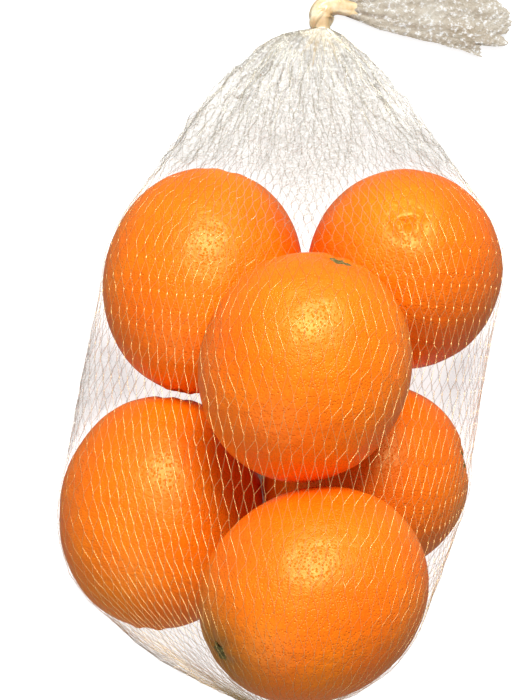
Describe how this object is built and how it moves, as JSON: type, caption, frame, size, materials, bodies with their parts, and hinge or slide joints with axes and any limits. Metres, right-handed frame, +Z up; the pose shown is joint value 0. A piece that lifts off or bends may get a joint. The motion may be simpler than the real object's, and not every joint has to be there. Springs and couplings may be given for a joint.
{
  "type": "mesh produce bag",
  "caption": "Knotless diamond-net produce bag of cream plastic, filled with oranges, lying down, closed by a bottom clip and a top overhand knot with a flared tail.",
  "frame": {"origin": "centre of the bounding box's underside, where the bag lies on a flat surface", "axes": "+Y from the bottom clip to the top knot along the bag, +X towards the side the tail lies on, +Z up away from the table"},
  "size_m": [0.1814, 0.3039, 0.146],
  "materials": {
    "net_film": "satin",
    "net_knot": "gloss",
    "net_tail": "satin",
    "orange_peel": "satin",
    "calyx": "matte",
    "clip_metal": "satin"
  },
  "bodies": {
    "bag": {"net_sleeve": "net_film", "bottom_gather": "net_knot", "bottom_clip": "clip_metal", "bottom_tuft": "net_tail"},
    "neck": {"net_neck": "net_film", "top_knot": "net_knot"},
    "tail_stem": {"tail_stem": "net_tail"},
    "tail_fan": {"tail_fan": "net_tail"},
    "orange_1": {"orange_1": "orange_peel", "orange_1_calyx": "calyx"},
    "orange_2": {"orange_2": "orange_peel", "orange_2_calyx": "calyx"},
    "orange_3": {"orange_3": "orange_peel", "orange_3_calyx": "calyx"},
    "orange_4": {"orange_4": "orange_peel", "orange_4_calyx": "calyx"},
    "orange_5": {"orange_5": "orange_peel", "orange_5_calyx": "calyx"},
    "orange_6": {"orange_6": "orange_peel", "orange_6_calyx": "calyx"}
  },
  "joints": [
    {"name": "neck_fold", "type": "hinge", "parent": "bag", "child": "neck", "pos_m": [0.0134, 0.1044, 0.0189], "axis": [1, 0, 0], "range_deg": [0, 70]},
    {"name": "tail_swing", "type": "hinge", "parent": "neck", "child": "tail_stem", "pos_m": [0.023, 0.142, 0.0032], "axis": [0, 0, 1], "range_deg": [-20, 75]},
    {"name": "tail_lift", "type": "hinge", "parent": "tail_stem", "child": "tail_fan", "pos_m": [0.04705, 0.1395, 0.0032], "axis": [0, -1, 0], "range_deg": [0, 75]},
    {"name": "orange_1_turn", "type": "hinge", "parent": "bag", "child": "orange_1", "pos_m": [-0.0336, 0.031, 0.0403], "axis": [0.2129, 0.9676, -0.1355], "continuous": true},
    {"name": "orange_2_turn", "type": "hinge", "parent": "bag", "child": "orange_2", "pos_m": [0.0447, 0.0352, 0.0442], "axis": [0.03, -0.3901, -0.9203], "continuous": true},
    {"name": "orange_3_turn", "type": "hinge", "parent": "bag", "child": "orange_3", "pos_m": [0.005, -0.0022, 0.103], "axis": [0.3098, 0.9295, 0.1999], "continuous": true},
    {"name": "orange_4_turn", "type": "hinge", "parent": "bag", "child": "orange_4", "pos_m": [-0.0502, -0.0588, 0.0412], "axis": [0.0984, 0.9841, -0.1476], "continuous": true},
    {"name": "orange_5_turn", "type": "hinge", "parent": "bag", "child": "orange_5", "pos_m": [0.0298, -0.046, 0.0395], "axis": [0.9723, 0.2005, 0.1203], "continuous": true},
    {"name": "orange_6_turn", "type": "hinge", "parent": "bag", "child": "orange_6", "pos_m": [0.0082, -0.0849, 0.1054], "axis": [-0.8118, -0.451, 0.3708], "continuous": true}
  ]
}
